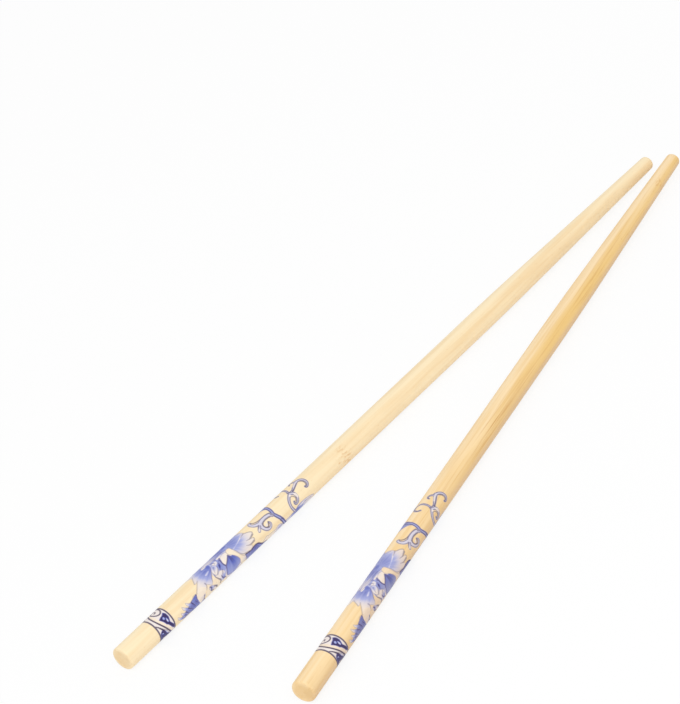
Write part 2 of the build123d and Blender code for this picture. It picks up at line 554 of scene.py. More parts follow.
def print_flower(plate):
    """The open peony: outer petals first, each later petal lying over the ones before."""
    # A thin cream ground under the folds
    plate.petal(
        [(31.0, -130), (30.8, -90), (32.2, -66), (34.4, -62), (36.4, -66), (38.6, -84), (40.4, -110),
         (41.0, -138), (36.0, -150), (32.0, -146)],
        (34, -100), 0, 1, pale=0.38, rim=0,
    )
    # Back petals, round the far side
    plate.petal(
        [(36.4, 182), (36.8, 160), (37.3, 138), (38.0, 121), (39.2, 114), (40.6, 112), (41.4, 126),
         (41.8, 144), (42.0, 162), (42.4, 180), (41.6, 196), (40.2, 207), (38.6, 204), (37.2, 196)],
        (39.6, 140), 0.56, 2.8, shade=0.06, root=(40, 105), streaks=16,
    )
    plate.petal(
        [(30.0, 117), (31.5, 109), (33.5, 106), (35.4, 108), (36.8, 114), (37.2, 128), (36.9, 150),
         (36.2, 172), (35.2, 190), (34.0, 199), (32.6, 195), (31.2, 186), (30.3, 172), (30.3, 160),
         (31.3, 147), (30.3, 136)],
        (35.3, 140), 0.54, 2.5, shade=0.02, root=(37, 108), streaks=18,
    )
    plate.stroke(
        [(30.6, 111), (32.6, 107), (34.6, 108), (36.2, 113), (37.0, 104), (37.8, 86)], 0.3, 0.5, ink=0.7,
    )
    plate.petal(
        [(36.0, 94), (37.0, 98), (37.9, 114), (39.2, 118), (40.6, 114), (41.2, 96), (40.2, 84),
         (39.2, 72), (37.6, 58), (36.8, 62)],
        (39.9, 104), 0.52, 1.5, shade=0.1, rim=0.18, root=(41, 80), streaks=12,
    )
    plate.petal(
        [(40.4, 92), (41.2, 116), (41.7, 138), (42.5, 152), (43.5, 157), (44.6, 152), (45.3, 136),
         (45.7, 108), (45.7, 82), (45.3, 62), (44.6, 46), (43.8, 42), (42.6, 50), (41.2, 62), (40.2, 76)],
        (43.0, 130), 0.36, 2.2, rim=0.24, root=(43.5, 40), streaks=14,
    )
    # Left petal: blue at its root, paling to long cream lobes
    plate.petal(
        [(32.4, 70), (31.0, 68), (30.2, 62), (29.4, 52), (29.7, 40), (29.3, 28), (29.7, 20), (30.6, 12),
         (30.2, -3), (29.7, -16), (29.3, -27), (29.9, -29), (30.5, -25), (29.8, -36), (29.1, -46),
         (28.4, -56), (27.9, -65), (28.8, -70), (29.8, -78), (30.4, -86), (31.1, -80), (31.6, -71),
         (31.9, -65), (32.6, -74), (33.2, -84), (33.9, -76), (34.2, -64), (34.7, -52), (35.5, -38),
         (36.3, -23), (36.9, -7), (36.7, 20), (36.4, 46), (35.8, 64), (34.2, 70)],
        (34.9, -12), 0.62, 3.4, pale=0.72, line=0.4, root=(38.4, -6), streaks=22,
    )
    plate.petal(
        [(32.0, 60), (33.4, 66), (35.6, 64), (35.8, 54), (34.6, 46), (33.6, 28), (32.4, 30), (31.8, 46)],
        (33.2, 50), 0.66, 1.2, shade=0.42, rim=0,
    )
    plate.petal(
        [(33.2, 44), (34.2, 46), (34.6, 38), (33.8, 34), (33.0, 38)],
        (34, 40), 0.05, 1, rim=0.08, line=0.4,
    )
    plate.strokes(
        ([(32.2, 66), (33.8, 65), (35.7, 62)], 0.45, 0.5, 0.8),
        ([(31.1, 12), (30.3, -2), (29.8, -14), (29.3, -27)], 0.16, 0.34, 0.55),
        ([(30.7, -24), (29.9, -34), (29.1, -45), (28.3, -57), (27.7, -65)], 0.24, 0.36, 0.5),
    )
    plate.petal(
        [(28.5, -58), (29.6, -54), (30.6, -62), (31.3, -76), (30.2, -92), (29.2, -94), (28.4, -84),
         (28.1, -68)],
        (29, -60), 0, 1, pale=0.66, rim=0,
    )
    plate.strokes(
        ([(31.7, -56), (31.8, -64), (31.6, -74), (31.1, -86)], 0.46, 0.2, 0.6),
        ([(36.9, -6), (36.3, -22), (35.6, -36), (35.0, -48), (34.4, -58), (34.0, -72)], 0.42, 0.22, 0.72),
    )
    plate.petal(
        [(34.6, 2), (35.2, -2), (36.1, 2), (36.8, -4), (36.5, -16), (35.8, -22), (35.0, -16), (34.5, -6)],
        (36.1, -9), 0.72, 1.0, shade=0.5, rim=0,
    )
    # A pale streak where the lacquer's gloss falls: a painted highlight
    plate.petal(
        [(33.4, -30), (34.5, -25), (35.3, -26), (34.6, -33), (33.8, -36)],
        (34.4, -30), 0.22, 0.9, shade=0.1, pale=1, rim=0,
    )
    plate.petal(
        [(34.3, 5), (34.9, 12), (35.7, 10), (36.2, 4), (35.5, 0), (34.8, 1)],
        (35.2, 6), 0.02, 1, pale=1, rim=0,
    )
    # The middle: a pale wash of blue under all its small folds
    plate.petal(
        [(36.8, -6), (37.0, 20), (38.6, 44), (41.2, 54), (43.8, 46), (45.2, 30), (45.4, 4), (45.0, -14),
         (43.2, -22), (41.2, -40), (40.2, -64), (39.4, -100), (38.4, -108), (37.2, -104), (36.2, -86),
         (35.4, -66), (35.2, -48), (36.2, -26)],
        (39.4, -32), 0.44, 2.6, shade=0.16, pale=0.9, rim=0,
    )
    # Long inner petals that run in to the heart, streaked silver and blue
    plate.petal(
        [(44.2, 34), (43.0, 48), (41.4, 56), (39.4, 54), (37.6, 50), (36.0, 52), (35.4, 74), (36.0, 90),
         (36.8, 76), (37.6, 60), (36.2, 38), (38.0, 36), (40.4, 32)],
        (41.8, 46), 0.56, 2.8, shade=0.1, root=(46, 36), streaks=28,
    )
    plate.petal(
        [(44.4, 28), (42.4, 38), (40.2, 36), (38.2, 40), (36.2, 36), (34.6, 26), (36.2, 18), (38.4, 14),
         (41.2, 8), (43.6, 8)],
        (42.4, 22), 0.58, 2.8, shade=0.16, root=(47, 20), streaks=34,
    )
    plate.petal(
        [(44.4, 10), (42.0, 10), (40.0, 13), (38.0, 15), (36.2, 18), (34.6, 16), (34.9, 10), (36.2, 4),
         (37.4, -2), (38.6, -3), (40.2, -2), (42.2, -3), (43.6, -8), (44.8, -6)],
        (42.6, 2), 0.5, 2.6, shade=0.14, rim=0.18, line=0.5, root=(47, 0), streaks=34,
    )
    for fold in (
        [(42.4, 16), (40.2, 20), (38.0, 24), (36.2, 27)], [(42.6, 2), (40.4, 5), (38.4, 7), (36.8, 10)],
        [(42.8, 28), (41.0, 30), (39.0, 32)], [(43.8, 44), (43.2, 28), (43.6, 14)],
    ):
        plate.stroke(fold, 0.34, 0.12, ink=0.55)
    plate.stroke([(37.5, 4), (39.2, 1), (41.0, 0)], 0.14, 0.3, ink=0.3)
    # Small folded tips under the dome
    for s, t in ((41.1, 58), (42.3, 62), (43.35, 60)):
        plate.petal(
            [(s - 0.35, t - 14), (s + 0.35, t - 12), (s + 0.3, t + 8), (s, t + 14), (s - 0.35, t + 4)],
            (s, t - 6), 0.9, 1.0, shade=0.6, rim=0.08,
        )
    # Crumpled folds between the left petal and the dome
    plate.petal(
        [(37.3, -16), (38.0, -13), (38.9, -12), (39.0, -20), (38.8, -29), (38.2, -34), (37.7, -28)],
        (38.4, -20), 0.1, 0.8, pale=1, rim=0.12, line=0.35,
    )
    plate.petal(
        [(39.5, -8), (40.6, -6), (41.6, -9), (41.3, -14), (40.3, -17), (39.6, -14)],
        (40.6, -12), 0.08, 0.8, pale=0.9, rim=0.1, line=0.3,
    )
    plate.strokes(
        ([(37.3, -8), (38.0, -12), (38.1, -22)], 0.4, 0.3, 0.62),
        ([(39.0, -2), (39.3, -6), (39.0, -12)], 0.5, 0.3, 0.6),
        ([(40.3, -17), (40.0, -22), (39.5, -26)], 0.5, 0.3, 0.75),
        ([(41.8, -4), (42.6, -12), (42.9, -20)], 0.2, 0.3, 0.4),
    )
    # Light blue petal with a dark fold
    plate.petal(
        [(38.2, -32), (39.2, -27), (39.9, -31), (40.0, -46), (40.2, -60), (39.6, -70), (38.8, -72),
         (38.0, -62), (37.7, -46)],
        (38.9, -46), 0.52, 1.5, shade=0.24, rim=0.14, line=0.4,
    )
    plate.stroke([(38.95, -33), (38.7, -41), (38.35, -50), (38.1, -56)], 0.5, 0.5, ink=0.7)
    plate.petal(
        [(38.5, -37), (39.0, -37), (38.8, -47), (38.3, -53), (38.1, -49)],
        (38.6, -43), 0.92, 0.8, shade=0.78, rim=0,
    )
    # Rolled petal, pale with a grey fold in its middle
    plate.petal(
        [(36.5, -22), (37.3, -20), (37.8, -30), (37.8, -44), (37.3, -57), (36.5, -66), (35.8, -60),
         (35.5, -46), (35.9, -32)],
        (36.9, -30), 0.3, 1.0, pale=1, line=0.5,
    )
    plate.strokes(
        ([(36.9, -31), (36.6, -38), (36.3, -46), (36.1, -54)], 0.5, 0.2, 0.42),
        ([(37.9, -38), (37.6, -48), (37.0, -58), (36.3, -67)], 0.3, 0.34, 0.66),
    )
    # Cream and lavender folds under it
    plate.petal(
        [(35.7, -64), (36.6, -68), (37.5, -60), (38.5, -66), (38.9, -76), (38.9, -92), (38.4, -104),
         (37.2, -110), (36.4, -98), (35.8, -80)],
        (38.2, -98), 0.42, 1.1, shade=0.02, pale=0.85, rim=0.16, line=0.42,
    )
    plate.strokes(
        ([(38.5, -64), (38.3, -72), (37.9, -82)], 0.4, 0.34, 0.6),
        ([(35.6, -52), (35.5, -68), (36.2, -86), (36.7, -98), (36.4, -112)], 0.24, 0.6, 0.78),
        ([(37.4, -84), (37.5, -94), (38.1, -103), (38.9, -105), (39.3, -97)], 0.4, 0.5, 0.8),
    )
    # Small grey-blue fold, apart from the rest
    plate.petal(
        [(32.0, -88), (32.9, -84), (33.9, -92), (34.8, -102), (35.4, -112), (34.8, -122), (33.6, -116),
         (32.5, -108)],
        (33.0, -96), 0.3, 1.0, shade=0.06, pale=0.5, rim=0.16, line=0.4,
    )
    plate.strokes(
        ([(32.5, -86), (32.9, -96), (32.6, -108), (33.4, -114)], 0.5, 0.5, 0.82),
        ([(33.9, -98), (34.7, -106), (35.0, -118)], 0.4, 0.6, 0.82),
    )
    # Cream petal that curls in front of the dome
    plate.petal(
        [(40.2, -30), (40.6, -18), (41.6, -12), (42.7, -14), (43.2, -24), (42.8, -34), (42.1, -42),
         (41.2, -52), (40.3, -59), (39.9, -46)],
        (41.6, -12), 0.1, 0.7, pale=0.85, rim=0.16, line=0.4,
    )
    plate.stroke([(40.0, -27), (39.8, -38), (39.8, -50), (40.1, -62)], 0.4, 0.46, ink=0.84)
    # The dome, and a pale petal behind its far edge
    plate.petal(
        [(38.9, -92), (38.9, -112), (39.4, -134), (41.8, -148), (44.6, -142), (45.4, -124), (45.2, -100),
         (43.0, -94)],
        (42.4, -112), 0.34, 1.8, shade=0.04, pale=0.85, rim=0.18, line=0.4,
    )
    plate.petal(
        [(39.3, -102), (39.7, -84), (40.2, -65), (40.9, -56), (41.6, -48), (42.2, -39), (42.7, -35),
         (43.1, -43), (43.6, -44), (44.1, -55), (44.6, -68), (45.0, -84), (45.0, -98), (44.4, -107),
         (43.0, -113), (41.4, -117), (40.0, -114)],
        (42.8, -52), 0.8, 2.3, shade=0.37, rim=0.22, line=0.62, root=(42.6, -20), streaks=7,
    )
    plate.strokes(
        ([(42.7, -34), (42.2, -41), (41.6, -48), (40.9, -56), (40.2, -65), (39.7, -82),
          (39.3, -100)], 0.5, 0.3, 0.8),
        ([(42.6, -38), (43.0, -46), (42.8, -54)], 0.45, 0.1, 0.6),
    )
    plate.petal(
        [(42.9, -30), (43.6, -34), (43.8, -43), (43.3, -47), (43.1, -40)],
        (43.3, -38), 0.02, 1, pale=1, rim=0,
    )
    plate.petal(
        [(43.7, -8), (44.8, -14), (45.6, -40), (46.2, -66), (47.4, -86), (48.0, -100), (47.2, -114),
         (45.6, -118), (44.9, -104), (45.1, -86), (44.7, -68), (44.0, -52), (43.3, -40), (43.0, -24)],
        (47.4, -114), 0.2, 1.2, pale=0.42, line=0.5,
    )
    plate.stroke([(44.9, -40), (45.4, -58), (46.0, -76), (46.9, -92)], 0.1, 0.3, ink=0.4)
    # Right petals: blue at the root, paling to pointed cream lobes
    plate.petal(
        [(45.0, 48), (45.5, 74), (46.2, 92), (46.8, 108), (47.6, 121), (48.6, 129), (49.8, 133),
         (50.6, 127), (50.6, 119), (52.0, 123), (53.3, 121), (53.7, 105), (53.5, 86), (52.7, 69),
         (51.7, 56), (50.6, 42), (49.4, 30), (47.2, 32), (45.2, 36)],
        (47.9, 62), 0.56, 3.0, shade=0.02, line=0.5, root=(44.5, 38), streaks=22,
    )
    plate.strokes(
        ([(50.6, 124), (50.3, 112), (50.9, 100)], 0.25, 0.1, 0.6),
        ([(50.4, 44), (52.0, 64), (53.0, 88)], 0.18, 0.24, 0.5),
    )
    plate.petal(
        [(44.6, 30), (44.7, 4), (44.9, -22), (45.3, -42), (45.6, -58), (46.1, -72), (47.0, -82),
         (48.2, -88), (49.4, -91), (50.4, -86), (50.6, -78), (50.0, -71), (51.3, -70), (52.2, -63),
         (52.1, -55), (51.0, -49), (52.2, -45), (53.0, -35), (52.6, -24), (51.6, -14), (51.1, -8),
         (51.2, 2), (50.9, 14), (50.4, 28), (49.2, 38), (46.6, 42)],
        (46.6, 6), 0.54, 3.8, pale=0.72, line=0.42, root=(43.6, 12), streaks=24,
    )
    # A pale streak across the petal, partly the print's own and partly a painted gloss highlight
    plate.petal(
        [(45.2, -34), (46.8, -29), (48.2, -23), (49.8, -14), (50.8, -7), (49.6, -10), (48.0, -18),
         (46.4, -25), (45.2, -29)],
        (46.6, -27), 0.26, 2, shade=0.06, pale=1, rim=0,
    )
    plate.strokes(
        ([(52.6, -42), (51.4, -48), (50.8, -48), (49.8, -44)], 0.6, 0.1, 0.7),
        ([(51.8, -68), (50.6, -70), (49.8, -68), (48.9, -60)], 0.6, 0.1, 0.7),
        ([(51.2, -8), (50.4, -11), (49.4, -14)], 0.5, 0.1, 0.6),
        ([(51.4, -13), (52.6, -24), (53.0, -35), (52.3, -44)], 0.3, 0.36, 0.6),
        ([(52.1, -55), (52.2, -63), (51.3, -70)], 0.34, 0.3, 0.56),
        ([(49.6, 38), (49.9, 24), (50.8, 8)], 0.4, 0.2, 0.55),
        ([(44.9, -24), (45.4, -46), (45.9, -66), (46.9, -81), (48.6, -89)], 0.24, 0.4, 0.55),
    )
    # Heart
    plate.petal(
        [(43.4, 12), (44.3, 8), (45.2, 16), (45.1, 32), (44.3, 42), (43.5, 32)],
        (44.3, 24), 0.72, 1.2, shade=0.5, rim=0,
    )
    # Dark leaf that peeps out under the right petals
    plate.petal(
        [(47.2, -88), (48.2, -91), (49.4, -94), (50.6, -89), (51.7, -88), (52.6, -92), (53.5, -105),
         (54.6, -117), (55.8, -126), (57.0, -136), (55.2, -134), (53.6, -131), (52.0, -134), (50.2, -137),
         (48.6, -135), (47.4, -128), (47.6, -112), (47.3, -96)],
        (51.4, -100), 0.66, 2.2, shade=0.4, rim=0.26, line=0.8, smooth=False, root=(49, -145), streaks=16,
    )
    plate.strokes(
        ([(47.6, -90), (48.6, -92), (49.6, -94), (50.6, -90), (51.7, -89), (52.7, -94), (53.5, -106),
          (54.4, -120)], 0.46, 0.5, 0.9),
        ([(47.9, -92), (49.4, -97), (51.2, -98), (52.6, -104)], 0.5, 0.3, 0.66),
        ([(48.2, -104), (50.2, -108), (52.4, -114)], 2.2, 1.2, 0.36),
    )


def print_vines(plate):
    """The scrolling vines towards the end of the print, with their curls and long leaves."""
    plate.scroll(
        [
            ([(46.0, 140), (46.3, 164), (46.0, 186), (46.6, 204), (48.0, 217), (50.6, 221), (53.6, 217),
              (56.6, 214), (59.2, 222)], 0.55, 0.7),
        ],
        rim=0.22,
    )
    # Fan leaf that sweeps round the back
    plate.petal(
        [(54.6, -112), (55.2, -104), (56.1, -98), (57.0, -103), (58.4, -104), (59.8, -106), (61.0, -98),
         (62.2, -103), (62.9, -118), (61.8, -134), (60.0, -138), (58.4, -132), (57.2, -126),
         (55.6, -120)],
        (61.8, -120), 0.26, 1.8, pale=0.6, rim=0.24, line=0.45, root=(64, -140), streaks=16,
    )
    plate.petal(
        [(61.9, -2), (61.3, 16), (60.4, 32), (59.5, 48), (58.9, 66), (58.5, 84), (57.8, 94), (56.9, 97),
         (56.1, 90), (55.8, 76), (55.4, 61), (55.0, 76), (55.0, 98), (55.7, 114), (56.8, 124),
         (57.3, 136), (57.1, 152), (57.6, 166), (58.6, 172), (59.0, 182), (58.8, 196), (59.4, 210),
         (60.2, 224), (61.4, 238), (63.4, 250), (64.1, 228), (64.0, 205), (63.8, 180), (63.3, 155),
         (63.1, 120), (63.1, 80), (62.9, 40), (62.4, 12)],
        (61.2, 64), 0.66, 2.8, shade=0.2, rim=0.24, root=(62, -20), streaks=40,
    )
    plate.strokes(
        ([(61.9, 10), (61.85, 50), (61.6, 90), (60.9, 122), (60.3, 150), (59.6, 178)], 0.7, 0.2, 0.8),
        ([(62.5, 20), (62.8, 70), (62.7, 120), (63.0, 160)], 0.4, 0.25, 0.75),
        ([(62.2, 100), (61.7, 140), (61.9, 190), (62.6, 225)], 0.15, 0.35, 0.55),
        ([(60.2, 96), (59.7, 126), (59.3, 148), (58.4, 163)], 0.15, 0.25, 0.6),
        ([(56.4, 104), (57.6, 106), (58.8, 96)], 0.3, 0.2, 0.5),
    )
    # Long leaf beyond it
    plate.petal(
        [(63.5, -112), (65.4, -110), (67.4, -107), (68.8, -102), (69.8, -95), (71.2, -92), (73.0, -93),
         (74.6, -98), (75.8, -105), (76.5, -116), (75.6, -124), (76.6, -136), (77.2, -142), (75.2, -145),
         (73.6, -141), (72.6, -150), (71.8, -141), (70.8, -152), (69.8, -141), (68.4, -142), (66.0, -139),
         (64.0, -142), (62.6, -134)],
        (69.2, -112), 0.62, 2.4, shade=0.1, rim=0.24, line=0.5, root=(66, -128), streaks=18,
    )
    plate.strokes(
        ([(63.4, -136), (67.0, -134), (71.0, -132), (75.6, -136)], 0.5, 0.2, 0.65),
        ([(68.4, -112), (70.4, -106), (72.6, -104), (75.2, -110)], 0.2, 0.3, 0.6),
    )
    plate.petal(
        [(69.6, -101), (70.6, -97), (72.0, -98), (72.4, -103), (70.8, -106)],
        (71.6, -100), 0.06, 1.2, shade=0.2, pale=1, rim=0,
    )
    # The thick vine, and the curled branch at its left
    plate.scroll(
        [
            ([(61.9, 36), (62.2, 14), (62.1, -8), (61.9, -26), (61.7, -40), (62.1, -58), (62.7, -76),
              (63.2, -94), (63.6, -112), (64.2, -128)], 1.0, 1.15),
        ],
        rim=0.36, blue=0.32, line=0.86,
    )
    plate.scroll(
        [
            ([(61.2, -40), (60.6, -30), (59.8, -26), (58.9, -24), (58.0, -25), (57.1, -28),
              (56.3, -33)], 1.1, 1.4),
            ([(56.8, -30), (56.0, -26), (55.1, -19), (54.6, -8), (54.6, 4), (55.0, 12)], 1.3, 0.95),
            ([(56.2, -36), (55.4, -46), (54.8, -55)], 1.1, 0.75),
            ([(56.6, -32), (56.3, -46), (56.6, -60), (57.2, -71), (58.0, -77), (58.8, -73), (59.15, -62),
              (58.9, -53)], 1.4, 0.6),
        ],
        rim=0.28, blue=0.15, line=0.78, pale=1,
    )
    plate.strokes(
        ([(61.2, -24), (60.7, -20), (59.8, -17), (58.8, -16), (57.8, -16), (56.8, -14), (55.9, -8),
          (55.4, 2), (55.4, 12)], 0.3, 0.4, 0.82),
        ([(60.4, -40), (59.4, -36), (58.4, -35), (57.5, -38), (57.0, -46), (57.0, -57), (57.5, -65),
          (58.1, -66), (58.5, -58), (58.8, -50)], 0.26, 0.46, 0.86),
        ([(55.9, -33), (55.3, -40), (54.7, -47)], 0.5, 0.3, 0.76),
        ([(56.2, -40), (55.8, -47), (55.2, -55)], 0.46, 0.24, 0.7),
    )
    plate.petal(
        [(54.7, -50), (55.2, -45), (55.5, -47), (55.2, -54), (54.7, -57)],
        (55.1, -50), 0.04, 1, pale=1, rim=0,
    )
    plate.petal(
        [(57.6, -56), (57.9, -50), (58.3, -52), (58.1, -60), (57.7, -62)],
        (57.9, -56), 0.04, 1, pale=1, rim=0,
    )
    plate.strokes(
        ([(61.0, -34), (61.3, -40), (61.7, -47)], 0.5, 0.3, 0.72),
        ([(62.9, -80), (63.5, -94), (64.0, -112), (64.4, -124)], 0.3, 0.5, 0.86),
        ([(62.3, -82), (62.8, -98), (63.2, -114)], 0.3, 0.46, 0.84),
    )
    # Curled sprigs at the end of the print
    plate.scroll(
        [
            ([(69.9, -20), (70.1, -4), (70.15, 14), (70.0, 32), (69.5, 46), (68.6, 53), (67.7, 50),
              (67.2, 38), (67.1, 24), (67.6, 14)], 0.75, 0.6),
            ([(69.6, -26), (68.9, -34), (68.1, -46), (67.65, -60), (67.5, -76), (67.8, -92),
              (68.3, -108)], 0.9, 0.9),
            ([(70.0, -25), (70.7, -33), (70.95, -45), (70.9, -57), (70.6, -68), (70.1, -77), (69.5, -79),
              (69.1, -73), (69.2, -65)], 1.15, 0.6),
            ([(70.2, -22), (71.2, -23), (72.2, -16), (73.1, -10), (74.0, -3), (74.8, 2)], 0.7, 1.15),
            ([(74.2, 2), (74.0, 14), (73.4, 23), (72.7, 22), (72.5, 14)], 0.8, 0.5),
            ([(74.4, 0), (75.3, -2), (76.0, -14), (76.3, -28), (76.25, -42), (75.8, -51), (75.2, -53),
              (74.9, -48)], 1.05, 0.6),
            ([(68.9, 66), (68.7, 84), (69.1, 99), (70.1, 106), (71.2, 104), (71.9, 94), (71.9, 78),
              (71.5, 68)], 0.8, 0.75),
        ],
        rim=0.3, blue=0.16, line=0.84, pale=0.95,
    )
    plate.stroke([(69.4, 46), (69.3, 58), (69.5, 74), (69.9, 82)], 0.35, 0.4, ink=0.65)
    plate.petal(
        [(70.6, -36), (71.2, -38), (71.4, -52), (71.0, -64), (70.7, -54)], (71, -50), 0.04, 1, rim=0,
    )
    plate.strokes(
        ([(69.3, -38), (69.9, -42), (70.25, -52), (70.1, -62), (69.75, -68)], 0.3, 0.4, 0.75),
        ([(71.0, -26), (72.2, -21), (73.2, -14), (74.1, -8)], 0.44, 0.36, 0.86),
    )
    plate.petal(
        [(72.3, -10), (73.0, -4), (73.9, 3), (74.2, -2), (73.2, -9), (72.5, -14)],
        (73.2, -4), 0.08, 1, shade=0.1, rim=0,
    )
    plate.strokes(
        ([(75.0, -8), (75.6, -22), (75.75, -36), (75.4, -46), (74.8, -50)], 0.3, 0.36, 0.8),
        ([(69.6, -14), (70.1, -19), (70.6, -26)], 0.5, 0.3, 0.74),
    )
    plate.petal([(69.1, -29), (69.7, -27), (69.8, -34), (69.3, -36)], (69.4, -32), 0.0, 1, pale=1, rim=0)


def add(tree, kind, inputs=None, **settings):
    """Adds a node, sets it, and gives its sockets values or links from other sockets."""
    node = tree.nodes.new(kind)
    for name, value in settings.items():
        setattr(node, name, value)
    for name, value in (inputs or {}).items():
        if isinstance(value, bpy.types.NodeSocket):
            tree.links.new(value, node.inputs[name])
        else:
            node.inputs[name].default_value = value
    return node


def opaque(colour_value):
    return (*colour_value, 1.0)


# From the butt in mm, and the skin side's share of its full strength there
SKIN_DEPTH = ((64, 0.3), (86, 0.54), (122, 0.54), (146, 1.0), (180, 1.0), (205, 0.75))


def turned_bamboo(name, light, dark, skin, scar_at, open_at, grain_at, ink_cover, butt, turn, scene):
    """Bamboo, turned and sanded smooth, transfer printed and sealed with a thin satin lacquer.

    The eye sees fine straight fibre bundles that run the whole length, broader streaks of tone, a
    golden side that lay nearer the culm's skin with duller wood and painted shade below it, a
    stretch of open grain, small flecks where a node was turned away, darker end grain and an even,
    low sheen.
    """
    bamboo, inks = scene.bamboo_colours, scene.print_colours
    stick_length = scene.stick_sizes.stick_length
    material = bpy.data.materials.new(name)
    material.use_nodes = True
    tree = material.node_tree
    tree.nodes.clear()
    coords = add(tree, "ShaderNodeTexCoord")
    # The stick's own axes: x across, y from the butt to the tip, z up
    own = add(
        tree, "ShaderNodeMapping",
        {"Vector": coords.outputs["Object"], "Location": butt, "Rotation": (0, 0, turn)},
        vector_type="TEXTURE",
    ).outputs[0]
    across, along, up = add(tree, "ShaderNodeSeparateXYZ", {"Vector": own}).outputs
    noises = []
    for width, run, detail in (
        (bamboo.fibre_width, bamboo.fibre_run, 2.0),
        (bamboo.streak_width, bamboo.streak_run, 2.0),
        (bamboo.fleck_width, bamboo.fleck_run, 3.0),
    ):
        vector = add(
            tree, "ShaderNodeMapping",
            {"Vector": own, "Location": (0, grain_at, 0), "Scale": (1 / width, 1 / run, 1 / width)},
        ).outputs[0]
        noise = add(tree, "ShaderNodeTexNoise", {"Vector": vector, "Scale": 1.0, "Detail": detail})
        noises.append(noise.outputs[0])
    fibres, streaks, flecks = noises

    # Angles from the middle of the lower side, with its duller wood and painted shade, and past the
    # middle of the skin side, which wears off sooner below than above. The edges of both wander with
    # the streaks.
    bearing = add(tree, "ShaderNodeMath", {0: across, 1: up}, operation="ARCTAN2").outputs[0]
    off, below = (
        add(tree, "ShaderNodeMath", {0: bearing, 1: middle}, operation="SUBTRACT").outputs[0]
        for middle in (bamboo.dull_and_shade_bearing, bamboo.skin_bearing)
    )
    off = add(tree, "ShaderNodeMath", {0: off, 1: math.pi}, operation="PINGPONG").outputs[0]
    above = add(tree, "ShaderNodeMath", {0: below, 1: -1.0}, operation="MULTIPLY").outputs[0]
    below = add(tree, "ShaderNodeMath", {0: below, 1: bamboo.lower_wear}, operation="MULTIPLY").outputs[0]
    beyond = add(tree, "ShaderNodeMath", {0: below, 1: above}, operation="MAXIMUM").outputs[0]
    off, beyond = (
        add(
            tree, "ShaderNodeMath", {0: streaks, 1: -bamboo.wander, 2: angle}, operation="MULTIPLY_ADD"
        ).outputs[0]
        for angle in (off, beyond)
    )

    # Distances along the stick from its open grain, its node scar and its nearer end
    gaps = []
    for place in (open_at, scar_at):
        ahead = add(tree, "ShaderNodeMath", {0: along, 1: place}, operation="SUBTRACT").outputs[0]
        gaps.append(add(tree, "ShaderNodeMath", {0: ahead}, operation="ABSOLUTE").outputs[0])
    to_tip = add(tree, "ShaderNodeMath", {0: stick_length, 1: along}, operation="SUBTRACT").outputs[0]
    gaps.append(add(tree, "ShaderNodeMath", {0: along, 1: to_tip}, operation="MINIMUM").outputs[0])
    from_open, from_scar, from_end = gaps
    flat = add(tree, "ShaderNodeVectorMath", {0: own, 1: (1, 0, 1)}, operation="MULTIPLY").outputs[0]
    from_axis = add(tree, "ShaderNodeVectorMath", {0: flat}, operation="LENGTH").outputs["Value"]

    # What each fade goes by, an angle in radians or a distance, where it starts and ends, and its
    # strength at the start and the end
    fades = []
    for value, start, end, strong, weak in (
        (off, -0.1, 0.95, 0.85 * skin, 0.0),  # painted shade and duller wood on the lower side
        (beyond, -0.3, 0.75, 1.0, 0.0),  # skin side
        (from_open, bamboo.open_core, bamboo.open_reach, 3.6 * skin, 0.0),  # open grain
        (from_scar, 0.0, bamboo.scar_reach, 0.22, 0.0),  # node scar
        (off, 0.7, 1.3, 1.0, 0.0),  # the side that has flecks
        (from_end, 0.0, bamboo.cut_reach, 0.5 + 0.3 * skin, 0.0),  # cut ends
        (from_axis, bamboo.cut_core, bamboo.cut_rim, 1.0, 0.3),  # middle of a cut end
    ):
        fade = add(
            tree, "ShaderNodeMapRange",
            {"Value": value, "From Min": start, "From Max": end, "To Min": strong, "To Max": weak},
            interpolation_type="SMOOTHSTEP",
        )
        fades.append(fade.outputs[0])
    dull_wood_and_shade, beside, opened, node, fleck_side, cut, core = fades

    # The skin side is faint under the print and deepest just past mid-length
    reached = add(tree, "ShaderNodeMapRange", {"Value": along, "From Max": stick_length}).outputs[0]
    depth = add(tree, "ShaderNodeValToRGB", {"Fac": reached})
    stops = depth.color_ramp.elements
    for place, strength in SKIN_DEPTH:
        stops.new(place * MM / stick_length).color = opaque((strength * skin,) * 3)
    for stop, (_, strength) in ((stops[0], SKIN_DEPTH[0]), (stops[-1], SKIN_DEPTH[-1])):
        stop.color = opaque((strength * skin,) * 3)
    golden = add(tree, "ShaderNodeMath", {0: beside, 1: depth.outputs[0]}, operation="MULTIPLY").outputs[0]

    # Fibres show darker on the skin side, and darkest where the grain is open
    opened = add(tree, "ShaderNodeMath", {0: opened, 1: beside}, operation="MULTIPLY").outputs[0]
    denser = add(
        tree, "ShaderNodeMath", {0: golden, 1: 2.4, 2: 0.3 + 0.35 * skin}, operation="MULTIPLY_ADD"
    ).outputs[0]
    denser = add(tree, "ShaderNodeMath", {0: denser, 1: opened}, operation="ADD").outputs[0]
    fine = add(
        tree, "ShaderNodeMapRange", {"Value": fibres, "From Min": 0.52, "From Max": 0.78, "To Max": 0.3}
    ).outputs[0]
    fine = add(tree, "ShaderNodeMath", {0: fine, 1: denser}, operation="MULTIPLY").outputs[0]

    # Flecks to the lower right: dense at the node, a few long ones elsewhere
    raised = add(tree, "ShaderNodeMath", {0: flecks, 1: node}, operation="ADD").outputs[0]
    mark = add(
        tree, "ShaderNodeMapRange", {"Value": raised, "From Min": 0.66, "From Max": 0.88, "To Max": 0.55}
    ).outputs[0]
    mark = add(tree, "ShaderNodeMath", {0: mark, 1: fleck_side}, operation="MULTIPLY").outputs[0]

